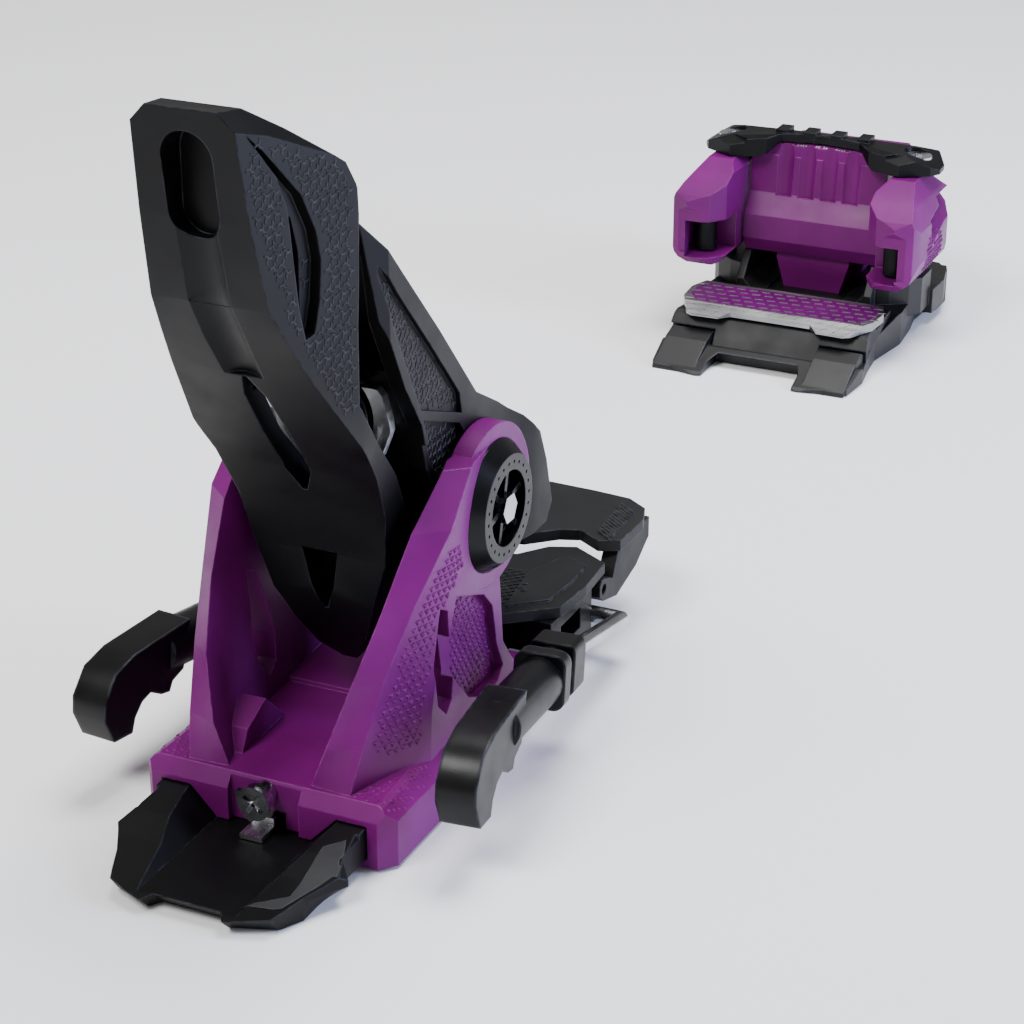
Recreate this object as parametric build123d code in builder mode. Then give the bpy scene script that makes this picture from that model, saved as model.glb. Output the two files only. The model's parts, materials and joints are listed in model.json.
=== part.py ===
"""Touring ski binding: a heel unit on its sliding track and a toe unit, in line on one ski.

Frame: X to the right when facing the toe, Y forward along the ski, Z up. Z = 0 is the ski's top face and
X = 0 its centre plane. The origin is the centre of the heel track's screw pattern. Millimetres.
"""

from build123d import *
from math import atan2, cos, degrees, hypot, radians, sin
import os

os.makedirs("parts", exist_ok=True)

# ---------------------------------------------------------------- driving dimensions
GAP = 0.3  # clearance between pieces that move past each other
SHAFT_GAP = 0.05  # radial running clearance of a shaft in its bore

# heel track
TRACK_REAR_Y = -85.5
TRACK_FRONT_Y = 49.0
TRACK_HALF = 27.4
TRACK_FOOT_HALF = 23.0
TRACK_LIP_Z = 3.0
TRACK_TOP_Z = 11.3
DISH_Z = 4.0
DISH_HALF = 13.0
DISH_TOP_HALF = 20.0
SCREW_HOLE_R = 2.9
SCREW_HEAD_R = 5.2
SCREW_SEAT_Z = 3.2
HEEL_SCREW_X = 16.0
HEEL_SCREW_Y = 31.0
RACK_PITCH = 2.5
RACK_HALF = 4.0
RACK_TOP_Z = 8.0
RACK_REAR_Y = -12.0
RACK_LENGTH = 42.0
HORN_Y = -57.5  # the rails' undercut ends here, where the horns widen

# heel housing and its fork
BLOCK_HALF = 33.8
BLOCK_REAR_Y = -46.0
BLOCK_FRONT_Y = 50.0
BLOCK_BOTTOM_Z = 0.6
PIVOT_Y = 19.8
PIVOT_Z = 67.0
RING_R = 20.8
RING_IN_X = 24.2
RING_OUT_X = 29.6
CAP_R = 16.8
CAP_BACK_X = 26.6  # the caps sit 3 mm deep in the rings
CAP_BASE = 3.4  # height of the cylindrical base, which just stands out of the ring
CAP_HEIGHT = 7.0
CAP_FACE_R = 13.6
CAP_SPOKES = 6
CAP_DOTS = 24
AXLE_R = 5.0
ADJUST_Z = 13.2
ADJUST_SHAFT_R = 3.0
ADJUST_HEAD_R = 4.4
WORM_R = 4.4
WORM_REAR_Y = 0.0
WORM_LENGTH = 16.0
FLOOR_HALF = 19.5

# heel body, lever and spring
BODY_HALF = 23.9
LEVER_PIN_Y = -9.0
LEVER_PIN_Z = 73.0
LEVER_PIN_R = 2.5
SPRING_Y = -7.0
SPRING_Z = 97.0
SPRING_CAP_R = 11.6
SPRING_BORE_R = 8.0
EYE_R = 4.5

# brake
BRAKE_Y = 78.4
BRAKE_Z = 11.4
WIRE_R = 2.4
WIRE_X = 38.0
GRIP_R = 6.4
PEDAL_HINGE_Y = 83.0
PEDAL_HINGE_Z = 17.0
PEDAL_HINGE_R = 1.5
DECK_TOP_Z = 24.0
DECK_THICK = 3.0
PEDAL_TOP_Z = 28.0

# toe unit
TOE_SCREW_X = 21.0
TOE_SCREW_REAR_Y = 316.0
TOE_SCREW_FRONT_Y = 380.0
RAMP_DEG = 11.0  # slope of the rails that raise the sole plate
RAMP_Y = 318.0
RAMP_Z = 7.6  # height of the slope at RAMP_Y
WING_AXLE_X = 34.4
WING_AXLE_Y = 358.0
WING_AXLE_R = 3.0
ROLLER_X = 35.0
ROLLER_Y = 335.0
ROLLER_R = 4.0
ROLLER_LOW_Z = 27.5
ROLLER_PIN_R = 1.6
TOE_SPRING_Z = 44.0
TOE_SPRING_R = 9.0
TOE_FRONT_Y = 408.0

FROM_BOTTOM = (Align.CENTER, Align.CENTER, Align.MIN)


# ---------------------------------------------------------------- helpers
def prism(plane, points, amount, mode=Mode.ADD, both=False):
    """Extrude the closed outline through points from plane."""
    with BuildSketch(plane) as outline:
        with BuildLine():
            Polyline(*points, close=True)
        make_face()
    extrude(outline.sketch, amount=amount, both=both, mode=mode)


def mirrored(points):
    """The outline's right half, given from bottom to top, closed with its mirror image."""
    return points + [(-x, y) for x, y in reversed(points)]


def mirrored_plan(points):
    """A closed plan outline from its right half, for points that start or end on the centre line."""
    return points + [(-x, y) for x, y in reversed(points) if x]


def rod(plane, radius, length, mode=Mode.ADD):
    """A round bar from plane along its normal."""
    with BuildSketch(plane) as section:
        Circle(radius)
    extrude(section.sketch, amount=length, mode=mode)


def x_plane(x, y, z):
    """A plane facing +X whose local axes are Y and Z."""
    return Plane(origin=(x, y, z), x_dir=(0, 1, 0), z_dir=(1, 0, 0))


def y_plane(x, y, z):
    """A plane facing +Y whose local axes are -X and Z."""
    return Plane(origin=(x, y, z), x_dir=(-1, 0, 0), z_dir=(0, 1, 0))


def save(piece, name):
    piece.part.label = name
    export_step(piece.part, f"parts/{name}.step")
    return piece.part


def coil(name, plane, mean_r, wire_r, length, turns):
    """A compression spring along plane's normal."""
    with BuildPart() as spring:
        with BuildLine():
            path = Helix(pitch=length / turns, height=length, radius=mean_r)
        with BuildSketch(Plane(origin=path @ 0, z_dir=path % 0)):
            Circle(wire_r)
        sweep(path=path, is_frenet=True)
    spring.part = spring.part.moved(plane.location)
    return save(spring, name)


# ---------------------------------------------------------------- heel track
def track_section(clearance):
    """Right half of the rail section, grown by clearance: foot, lip, side, top and dish."""
    c = clearance
    return [
        (TRACK_FOOT_HALF + c, 0 - c),
        (TRACK_FOOT_HALF + c, TRACK_LIP_Z - c),
        (TRACK_HALF + c, TRACK_LIP_Z - c),
        (TRACK_HALF + c, TRACK_TOP_Z + c),
        (DISH_TOP_HALF - c, TRACK_TOP_Z + c),
        (DISH_HALF - c, DISH_Z + c),
    ]


HORN_TOP = [
    (TRACK_HALF, HORN_Y),
    (30.8, -61),
    (28.2, -65),
    (24.8, -71),
    (21.0, -80.5),
    (11.0, TRACK_REAR_Y),
    (9.0, -82),
]
HORN_FOOT = [
    (TRACK_FOOT_HALF, HORN_Y),
    (24.3, -61),
    (24.5, -66),
    (24.5, -71),
    (21.5, -76.5),
    (10.5, -80.5),
    (8.5, -77.5),
]

with BuildPart() as heel_track:
    prism(Plane.XZ.offset(-TRACK_FRONT_Y), mirrored(track_section(0)), TRACK_FRONT_Y - HORN_Y)
    outlines = []
    for height, points in ((0, HORN_FOOT), (5.0, HORN_TOP), (TRACK_TOP_Z, HORN_TOP)):
        with BuildSketch(Plane.XY.offset(height)) as outline:
            with BuildLine():
                Polyline(*mirrored(points), close=True)
            make_face()
        outlines.append(outline.sketch)
    loft(outlines, ruled=True)
    # the dish runs on between the horns
    prism(
        Plane.XZ.offset(-HORN_Y - 1),
        mirrored([(DISH_HALF, DISH_Z), (DISH_TOP_HALF, TRACK_TOP_Z), (DISH_TOP_HALF, 16)]),
        40,
        Mode.SUBTRACT,
    )
    # the horns' tops fall towards the rear, and their outer edges are bevelled
    prism(
        Plane.YZ.offset(-40),
        [(-47, 16), (-47, TRACK_TOP_Z), (-58, 9.6), (-66, 7.0), (-90, 2.4), (-90, 16)],
        80,
        Mode.SUBTRACT,
    )
    for side in (1, -1):
        prism(
            Plane.XZ.offset(49),
            [(side * 26.0, 16), (side * 26.0, TRACK_TOP_Z), (side * 36, 1.6), (side * 36, 16)],
            40,
            Mode.SUBTRACT,
        )
    # screw holes with seats for the heads
    with GridLocations(2 * HEEL_SCREW_X, 2 * HEEL_SCREW_Y, 2, 2):
        Cylinder(SCREW_HOLE_R, 20, mode=Mode.SUBTRACT)
    with Locations((0, 0, SCREW_SEAT_Z)):
        with GridLocations(2 * HEEL_SCREW_X, 2 * HEEL_SCREW_Y, 2, 2):
            Cylinder(SCREW_HEAD_R, 10, align=FROM_BOTTOM, mode=Mode.SUBTRACT)
    # groove that the rack is set into
    with Locations((0, RACK_REAR_Y + RACK_LENGTH / 2, DISH_Z)):
        Box(2 * RACK_HALF, RACK_LENGTH, 3, mode=Mode.SUBTRACT)
save(heel_track, "heel_track")

with BuildPart() as heel_rack:
    with Locations((0, RACK_REAR_Y + RACK_LENGTH / 2, DISH_Z - 1.5)):
        Box(2 * RACK_HALF, RACK_LENGTH, 4.5, align=FROM_BOTTOM)
    for i in range(int(RACK_LENGTH / RACK_PITCH)):
        y = RACK_REAR_Y + (i + 0.6) * RACK_PITCH
        prism(
            Plane.YZ.offset(-RACK_HALF + 0.6),
            [(y - 0.95, 6.8), (y - 0.35, RACK_TOP_Z), (y + 0.35, RACK_TOP_Z), (y + 0.95, 6.8)],
            2 * RACK_HALF - 1.2,
        )
save(heel_rack, "heel_rack")


# ---------------------------------------------------------------- heel housing with its fork
FORK_SECTIONS = [
    # height, inner rear, outer rear, outer middle, outer front, inner front, inner middle
    (12.0, (9.4, -42.0), (21.0, -44.0), (31.0, -19.0), (30.0, 42.0), (19.0, 40.0), (17.0, -22.0)),
    (20.0, (12.3, -42.0), (22.2, -41.5), (30.6, -18.0), (29.4, 30.8), (19.0, 30.8), (17.6, -24.0)),
    (27.0, (15.0, -41.8), (23.3, -38.9), (30.4, -17.0), (29.0, 26.0), (19.0, 26.0), (18.4, -25.0)),
    (42.0, (19.4, -36.6), (25.5, -31.7), (30.2, -13.0), (29.0, 24.6), (20.2, 24.6), (20.0, -24.0)),
    (57.0, (22.7, -27.4), (28.4, -21.8), (30.8, -8.0), (29.2, 22.0), (23.0, 22.0), (22.9, -16.0)),
    (73.0, (25.0, -15.9), (32.4, -9.3), (31.6, -2.0), (29.4, 18.0), (24.4, 18.0), (24.4, -6.0)),
    (84.0, (26.4, -1.5), (31.8, 3.0), (31.0, 6.0), (29.4, 18.0), (24.4, 18.0), (24.6, 4.0)),
]


def fork_arm(side):
    """One fork arm, lofted through its sections; side is 1 for the right arm and -1 for the left."""
    outlines = []
    for height, *points in FORK_SECTIONS:
        with BuildSketch(Plane.XY.offset(height)) as outline:
            with BuildLine():
                Polyline(*[(side * x, y) for x, y in points], close=True)
            make_face()
        outlines.append(outline.sketch)
    loft(outlines, ruled=True)


BLOCK_SIDE = [
    (BLOCK_REAR_Y, BLOCK_BOTTOM_Z),
    (BLOCK_REAR_Y, 13.0),
    (-43.5, 16.6),
    (29.0, 18.9),
    (44.0, 14.5),
    (BLOCK_FRONT_Y, 8.0),
    (BLOCK_FRONT_Y, BLOCK_BOTTOM_Z),
]
BLOCK_REAR = [
    (BLOCK_HALF, BLOCK_BOTTOM_Z),
    (BLOCK_HALF, 12.5),
    (30.8, 16.0),
    (22.0, 20.5),
]
BLOCK_PLAN = [(30.5, BLOCK_REAR_Y), (BLOCK_HALF, -42), (BLOCK_HALF, BLOCK_FRONT_Y)]
POCKET = [
    (-3, 52.5),
    (14, 45.4),
    (19.5, 40),
    (22, 28.5),
    (25, 21),
    (21, 18),
    (12, 18),
    (4, 22),
    (-5, 32),
    (-7, 42),
]
WINDOW = [(-11.5, 53), (-8, 51), (-4.5, 33), (-5.5, 26), (-9, 23.5), (-13.5, 28), (-15, 38)]

with BuildPart() as heel_housing:
    prism(Plane.YZ, BLOCK_SIDE, BLOCK_HALF, both=True)
    prism(Plane.XZ.offset(60), mirrored(BLOCK_REAR), -120, Mode.INTERSECT)
    prism(Plane.XY, mirrored(BLOCK_PLAN), 30, Mode.INTERSECT)
    for side in (1, -1):
        fork_arm(side)
    # rings around the pivot
    for side in (1, -1):
        with BuildSketch(Plane.YZ.offset(side * RING_IN_X)):
            with Locations((PIVOT_Y, PIVOT_Z)):
                Circle(RING_R)
        extrude(amount=side * (RING_OUT_X - RING_IN_X))
    # the upper floor, raised in front of a low step
    prism(
        Plane.YZ,
        [(-2, 14), (0, 19.0), (16, 20.0), (26, 20.0), (30, 14)],
        FLOOR_HALF,
        both=True,
    )
    # clearance for the heel body between the rings
    for side in (1, -1):
        rod(x_plane(0, PIVOT_Y, PIVOT_Z), RING_R + 3, side * RING_IN_X, Mode.SUBTRACT)
    # recessed side pockets and the windows through them
    for side in (1, -1):
        prism(Plane.YZ.offset(side * 26.8), POCKET, side * 6, Mode.SUBTRACT)
        prism(Plane.YZ.offset(side * 12.0), WINDOW, side * 22, Mode.SUBTRACT)
    # pivot bores and the seats for the caps
    for side in (1, -1):
        rod(x_plane(side * 20, PIVOT_Y, PIVOT_Z), AXLE_R + 0.01, side * 15, Mode.SUBTRACT)
        seat = x_plane(side * CAP_BACK_X, PIVOT_Y, PIVOT_Z)
        rod(seat, CAP_R, side * 10, Mode.SUBTRACT)
    # channel for the track, and a slot over the rack
    prism(Plane.XZ.offset(60), mirrored(track_section(GAP)), -120, Mode.SUBTRACT)
    with Locations((0, 0, 3.0)):
        Box(2 * RACK_HALF + 2, 140, 5.6, align=FROM_BOTTOM, mode=Mode.SUBTRACT)
    # recessed panel around the adjusting screw
    with Locations((0, BLOCK_REAR_Y, 10)):
        Box(19, 4, 14, mode=Mode.SUBTRACT)
    # bore of the adjusting screw and chamber of its worm
    rod(y_plane(0, -60, ADJUST_Z), ADJUST_SHAFT_R + SHAFT_GAP, 61, Mode.SUBTRACT)
    rod(y_plane(0, WORM_REAR_Y - 0.2, ADJUST_Z), WORM_R + GAP, WORM_LENGTH + 0.4, Mode.SUBTRACT)
    # small gussets where the arms meet the sloping floor
    for side in (1, -1):
        prism(
            Plane.YZ.offset(side * 11.0),
            [(-37, 15), (-33, 22), (-24, 26), (-14, 16)],
            side * 8,
        )
save(heel_housing, "heel_housing")


# ---------------------------------------------------------------- heel adjusting screw and marker
with BuildPart() as heel_adjust_screw:
    rod(y_plane(0, -50.4, ADJUST_Z), ADJUST_HEAD_R, 2.6)
    with BuildSketch(y_plane(0, -50.0, ADJUST_Z)):
        for angle in (20, 110, 200, 290):
            with Locations(Rot(0, 0, angle) * Pos(ADJUST_HEAD_R, 0)):
                Rectangle(1.6, 2.2)
    extrude(amount=1.2)
    rod(y_plane(0, -48.0, ADJUST_Z), ADJUST_SHAFT_R, 48.5)
    rod(y_plane(0, WORM_REAR_Y, ADJUST_Z), WORM_R, WORM_LENGTH)
    # a cross recess in a dished face
    with Locations(Plane(origin=(0, -50.0, ADJUST_Z), x_dir=(1, 0, 0), z_dir=(0, -1, 0))):
        Cone(1.0, 3.2, 1.4, align=(Align.CENTER, Align.CENTER, Align.MAX), mode=Mode.SUBTRACT)
    for angle in (0, 90):
        with Locations(Location((0, -49.4, ADJUST_Z), (0, angle + 35, 0))):
            Box(6.0, 4.0, 1.1, mode=Mode.SUBTRACT)
save(heel_adjust_screw, "heel_adjust_screw")

with BuildPart() as pressure_marker:
    with Locations((0, -48.5, 4.3)):
        Box(6.0, 7.0, 1.3, align=FROM_BOTTOM)
    with Locations((0, -45.6, 4.3)):
        Box(6.0, 1.2, 3.4, align=FROM_BOTTOM)
save(pressure_marker, "pressure_marker")


# ---------------------------------------------------------------- pivot axle and caps
with BuildPart() as pivot_axle:
    rod(x_plane(-CAP_BACK_X, PIVOT_Y, PIVOT_Z), AXLE_R, 2 * CAP_BACK_X)
save(pivot_axle, "pivot_axle")


def pivot_cap(side):
    """The wheel-like cap in the fork's ring: bevelled rim, dimples, spokes and a hub."""
    rod(x_plane(side * CAP_BACK_X, PIVOT_Y, PIVOT_Z), CAP_R - 0.05, side * CAP_BASE)
    rings = []
    for x, radius in ((CAP_BASE, CAP_R - 0.05), (CAP_HEIGHT, CAP_FACE_R)):
        with BuildSketch(x_plane(side * (CAP_BACK_X + x), PIVOT_Y, PIVOT_Z)) as ring:
            Circle(radius)
        rings.append(ring.sketch)
    loft(rings)
    # dished face inside the rim, with spokes across it
    rod(x_plane(side * (CAP_BACK_X + 3.4), PIVOT_Y, PIVOT_Z), 9.6, side * 8, Mode.SUBTRACT)
    for i in range(CAP_SPOKES):
        angle = radians(i * 360 / CAP_SPOKES + 15)
        y, z = PIVOT_Y + 6.4 * cos(angle), PIVOT_Z + 6.4 * sin(angle)
        with Locations(Location((side * (CAP_BACK_X + 4.4), y, z), (degrees(angle), 0, 0))):
            Box(2.4, 8.0, 1.5)
    for i in range(CAP_DOTS):
        angle = radians(i * 360 / CAP_DOTS)
        y, z = PIVOT_Y + 11.6 * cos(angle), PIVOT_Z + 11.6 * sin(angle)
        rod(x_plane(side * (CAP_BACK_X + CAP_HEIGHT - 0.8), y, z), 0.45, side * 2, Mode.SUBTRACT)
    # bore for the hub screw
    rod(x_plane(side * CAP_BACK_X, PIVOT_Y, PIVOT_Z), 3.0, side * 8, Mode.SUBTRACT)


for side, name in ((1, "pivot_cap_right"), (-1, "pivot_cap_left")):
    with BuildPart() as cap:
        pivot_cap(side)
    save(cap, name)

with BuildPart() as pivot_hub_screws:
    for side in (1, -1):
        rod(x_plane(side * (CAP_BACK_X + 0.62), PIVOT_Y, PIVOT_Z), 2.95, side * 5.4)
        with BuildSketch(x_plane(side * (CAP_BACK_X + 5.8), PIVOT_Y, PIVOT_Z)) as flats:
            RegularPolygon(3.9, 6)
        extrude(flats.sketch, amount=side * 1.6)
save(pivot_hub_screws, "pivot_hub_screws")


# ---------------------------------------------------------------- heel body
BODY_SIDE = [
    (-29.0, 152),
    (-24.5, 128),
    (-15, 109),
    (-7, 97),
    (-3, 84),
    (2.5, 76),
    (6, 66),
    (14, 54),
    (22, 45.5),
    (58, 46.5),
    (61.5, 51),
    (58, 64),
    (54, 73.2),
    (46, 80.4),
    (34, 88.2),
    (22.1, 95),
    (2.6, 117.4),
    (-16.9, 138.6),
]
BODY_PLAN = [(15, -40), (BODY_HALF, -22), (BODY_HALF, 40), (26.5, 50), (26.5, 70)]
BODY_HOLLOW = [
    (-60, 147),
    (-27, 144),
    (-16, 131.5),
    (1, 112),
    (7, 104.5),
    (2, 106),
    (SPRING_Y, 109),
    (SPRING_Y, 78),
    (-60, 78),
]
SIDE_PANEL = [(-26, 143), (-18, 133), (0, 113), (13, 98), (14, 92.5), (-7.5, 101), (-21, 127)]
LOWER_PANEL = [(-6.5, 98), (13, 90.3), (16, 86), (4, 78.2), (-1, 85)]
FRAME_OUTLINE = [
    (6, 77.6),
    (13.2, 86.5),
    (14.5, 88.6),
    (16.9, 95),
    (16.7, 97.5),
    (14.9, 103.6),
    (13.6, 105.1),
]

with BuildPart() as heel_body:
    prism(Plane.YZ, BODY_SIDE, 29.5, both=True)
    # plan shape: narrow between the fork's arms, flared around the boot's heel
    prism(Plane.XY.offset(40), mirrored(BODY_PLAN), 130, Mode.INTERSECT)
    # below the axle the flanks follow the fork's leaning inner faces
    for side in (1, -1):
        prism(
            Plane.XZ.offset(-40.5),
            [(side * BODY_HALF, 64), (side * 19.4, 50), (side * 19.4, 40), (side * 40, 40), (side * 40, 64)],
            60,
            Mode.SUBTRACT,
        )
    # hollow for the boot's heel, above and below the jaw
    with Locations((0, 63, 51)):
        Cylinder(23.5, 60, align=FROM_BOTTOM, mode=Mode.SUBTRACT)
    with Locations((0, 68, 40)):
        Cylinder(18.5, 12, align=FROM_BOTTOM, mode=Mode.SUBTRACT)
    # the shell is open to the rear above the spring
    prism(Plane.YZ, BODY_HOLLOW, 19.8, Mode.SUBTRACT, both=True)
    # textured side panels lie below a smooth band
    for side in (1, -1):
        prism(Plane.YZ.offset(side * (BODY_HALF - 1.4)), SIDE_PANEL, side * 4, Mode.SUBTRACT)
        prism(Plane.YZ.offset(side * (BODY_HALF - 2.0)), LOWER_PANEL, side * 4, Mode.SUBTRACT)
    # relief that passes the fork's arms when the body is open
    for side in (1, -1):
        prism(
            Plane.YZ.offset(side * 23.0),
            [(-12, 74), (-12, 92), (6, 90), (6, 74)],
            side * 6,
            Mode.SUBTRACT,
        )
    # half ring over the spring cap, and the spring's bore
    with BuildSketch(y_plane(0, SPRING_Y - 4.0, SPRING_Z)) as arch:
        Circle(SPRING_CAP_R + 3.0)
        Circle(SPRING_CAP_R + 0.8, mode=Mode.SUBTRACT)
        with Locations((0, -20.4)):
            Rectangle(60, 60, mode=Mode.SUBTRACT)
    extrude(arch.sketch, amount=4.0)
    rod(y_plane(0, SPRING_Y - 1, SPRING_Z), SPRING_BORE_R + SHAFT_GAP, 20.6, Mode.SUBTRACT)
    # bore for the axle
    rod(x_plane(-40, PIVOT_Y, PIVOT_Z), AXLE_R + SHAFT_GAP, 80, Mode.SUBTRACT)
    # eyes that carry the lever
    for side in (1, -1):
        prism(
            Plane.YZ.offset(side * 9.0),
            [(LEVER_PIN_Y, 68.5), (8, 68.5), (8, 77.5), (LEVER_PIN_Y, 77.5)],
            side * 4,
        )
        rod(x_plane(side * 9.0, LEVER_PIN_Y, LEVER_PIN_Z), EYE_R, side * 4)
        rod(x_plane(side * 8, LEVER_PIN_Y, LEVER_PIN_Z), LEVER_PIN_R, side * 6, Mode.SUBTRACT)
save(heel_body, "heel_body")

with BuildPart() as spring_frame:
    prism(Plane.XZ.offset(-SPRING_Y), mirrored(FRAME_OUTLINE), 2.6)
    rod(y_plane(0, SPRING_Y - 4, SPRING_Z), SPRING_CAP_R + 1.0, 8, Mode.SUBTRACT)
    for side in (1, -1):
        prism(
            Plane.XZ.offset(-SPRING_Y + 1.6),
            [(side * 13.1, 90.5), (side * 14.2, 91), (side * 15.8, 96), (side * 13.6, 96)],
            2,
            Mode.SUBTRACT,
        )
save(spring_frame, "spring_frame")

with BuildPart() as spring_cap:
    # a domed head with a slot, on a plug in the spring's bore
    with BuildSketch(Plane.YZ) as half:
        with BuildLine():
            Polyline((6.0, 0), (6.0, SPRING_BORE_R), (-0.4, SPRING_BORE_R), (-0.4, 11.6), (-3.6, 11.6))
            ThreePointArc((-3.6, 11.6), (-5.6, 7.5), (-6.6, 0))
            Line((-6.6, 0), (6.0, 0))
        make_face()
    revolve(half.sketch, axis=Axis.Y)
    with Locations((0, -6.2, 0)):
        Box(13, 3.2, 2.2, mode=Mode.SUBTRACT)
spring_cap.part = spring_cap.part.moved(Location((0, SPRING_Y, SPRING_Z)))
save(spring_cap, "spring_cap")

with BuildPart() as heel_piston:
    rod(y_plane(0, SPRING_Y + 16.8, SPRING_Z), SPRING_BORE_R, 2.2)
    rod(y_plane(0, SPRING_Y + 13.0, SPRING_Z), 3.0, 4.0)
save(heel_piston, "heel_piston")

coil("heel_spring", y_plane(0, SPRING_Y + 7.6, SPRING_Z), 5.4, 1.2, 7.8, 2.5)

with BuildPart() as lever_pin:
    rod(x_plane(-17.5, LEVER_PIN_Y, LEVER_PIN_Z), LEVER_PIN_R, 35)
save(lever_pin, "lever_pin")


# ---------------------------------------------------------------- heel lever
LEVER_SIDE = [
    (-66.2, 184.5),
    (-65.3, 178),
    (-62.8, 160),
    (-58.4, 140),
    (-52.6, 130),
    (-46.3, 120),
    (-32.1, 100),
    (-24.7, 90),
    (-18.0, 77),
    (-14.6, 63),
    (-13.6, 51),
    (-9.8, 42),
    (-5.6, 34),
    (-1.1, 29),
    (0.5, 29.5),
    (6.0, 38),
    (4.5, 50),
    (0.0, 65),
    (-9.0, 78),
    (-14.6, 87),
    (-24.5, 98),
    (-33.2, 111),
    (-33.0, 130),
    (-31.6, 155),
    (-32.0, 161),
    (-35.4, 167.5),
    (-58.0, 183.5),
]
LEVER_PLAN = [(11.8, -68), (22.0, -32.6), (22.0, 20)]
LEVER_FRONT = [
    (2.0, 29),
    (6.0, 34),
    (10.0, 42),
    (13.5, 51),
    (17.5, 63),
    (19.6, 77),
    (21.2, 90),
    (22.0, 98),
    (22.0, 167),
    (15.0, 178),
    (8.5, 184.5),
]
LEVER_SLOT = [(0.6, 82), (3.4, 88), (3.6, 100), (2.8, 113), (0.6, 119)]
LEVER_OPENING = [(0.4, 47.5), (3.0, 54), (4.8, 64)]
LEVER_HOLLOW = [(-20, 112), (-37, 112), (-47, 132), (-50, 148), (-48, 160), (-36, 162), (-20, 158)]
SIDE_GROOVE = [
    (-63, 179.5),
    (-54.9, 168.7),
    (-52.3, 161),
    (-51.1, 149),
    (-50.0, 138.4),
    (-48.4, 131),
    (-45.8, 131.7),
    (-44.0, 139),
    (-43.3, 147.8),
    (-44.5, 154.8),
    (-48.3, 163.4),
    (-58.6, 175.5),
]
SIDE_WINDOW = [
    (-51.6, 162),
    (-50.4, 149),
    (-49.4, 138.4),
    (-48.2, 132.5),
    (-46.8, 138),
    (-46.6, 150),
    (-48.4, 158),
]

with BuildPart() as heel_lever:
    prism(Plane.YZ, LEVER_SIDE, 22, both=True)
    prism(Plane.XY, mirrored(LEVER_PLAN), 200, Mode.INTERSECT)
    prism(Plane.XZ.offset(80), mirrored(LEVER_FRONT), -120, Mode.INTERSECT)
    # slot between the legs and the lower opening
    prism(Plane.XZ.offset(80), mirrored(LEVER_SLOT), -120, Mode.SUBTRACT)
    prism(Plane.XZ.offset(80), mirrored(LEVER_OPENING), -120, Mode.SUBTRACT)
    # hollow of the hood, open to the front
    prism(Plane.YZ, LEVER_HOLLOW, 12.6, Mode.SUBTRACT, both=True)
    # recess that a ski pole's tip is set into, and the valley below it
    with BuildSketch(Plane.XZ.offset(57)) as oval:
        with Locations((0, 167.3)):
            SlotCenterToCenter(12.1, 12.4, rotation=90)
    extrude(oval.sketch, amount=20, mode=Mode.SUBTRACT)
    for start, end, inset in (((-62.3, 158), (-58.2, 140), 7.0), ((-58.2, 140), (-45.7, 119), 7.0)):
        run = hypot(end[0] - start[0], end[1] - start[1])
        along = (0, (end[0] - start[0]) / run, (end[1] - start[1]) / run)
        out_y = start[0] + along[2] * inset
        out_z = start[1] - along[1] * inset
        rod(Plane(origin=(0, out_y, out_z), z_dir=along), 8.6, run, Mode.SUBTRACT)
    # grooves along the hood's sides, with windows into the hollow
    for side in (1, -1):
        with BuildPart(mode=Mode.PRIVATE) as groove:
            prism(Plane.YZ, SIDE_GROOVE, side * 30)
            floor = [(side * x, y) for x, y in ((9.0, -68), (19.4, -32.6), (40, -32.6), (40, -68))]
            prism(Plane.XY, floor, 200, Mode.INTERSECT)
        add(groove.part, mode=Mode.SUBTRACT)
        prism(Plane.YZ.offset(side * 11.0), SIDE_WINDOW, side * 14, Mode.SUBTRACT)
    # room for the spring frame and its cap
    with Locations((0, -10.2, 76.6)):
        Box(35, 60, 60, align=(Align.CENTER, Align.MIN, Align.MIN), mode=Mode.SUBTRACT)
    rod(y_plane(0, SPRING_Y - 8.2, SPRING_Z), SPRING_CAP_R + 1.0, 20, Mode.SUBTRACT)
    # bore for the pin and notches for the body's eyes
    rod(x_plane(-17.5, LEVER_PIN_Y, LEVER_PIN_Z), LEVER_PIN_R + SHAFT_GAP, 35, Mode.SUBTRACT)
    for side in (1, -1):
        rod(x_plane(side * 8.6, LEVER_PIN_Y, LEVER_PIN_Z), EYE_R + 0.4, side * 4.8, Mode.SUBTRACT)
        prism(
            Plane.YZ.offset(side * 8.6),
            [(LEVER_PIN_Y, 66.5), (20, 60), (20, 86), (LEVER_PIN_Y, 79.0)],
            side * 4.8,
            Mode.SUBTRACT,
        )
save(heel_lever, "heel_lever")


# ---------------------------------------------------------------- heel plate and brake bracket
DECK_PLAN = [(18.5, 31), (18.5, 44), (32, 55), (33, 70), (32, 84.7), (21, 91), (14, 88), (8, 80), (0, 78)]
BRACKET_SIDE = [(50.2, 9.4), (66, 9.4), (76, 7.5), (85, 7.5), (86, 14), (82, 21), (50.2, 21)]

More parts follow.
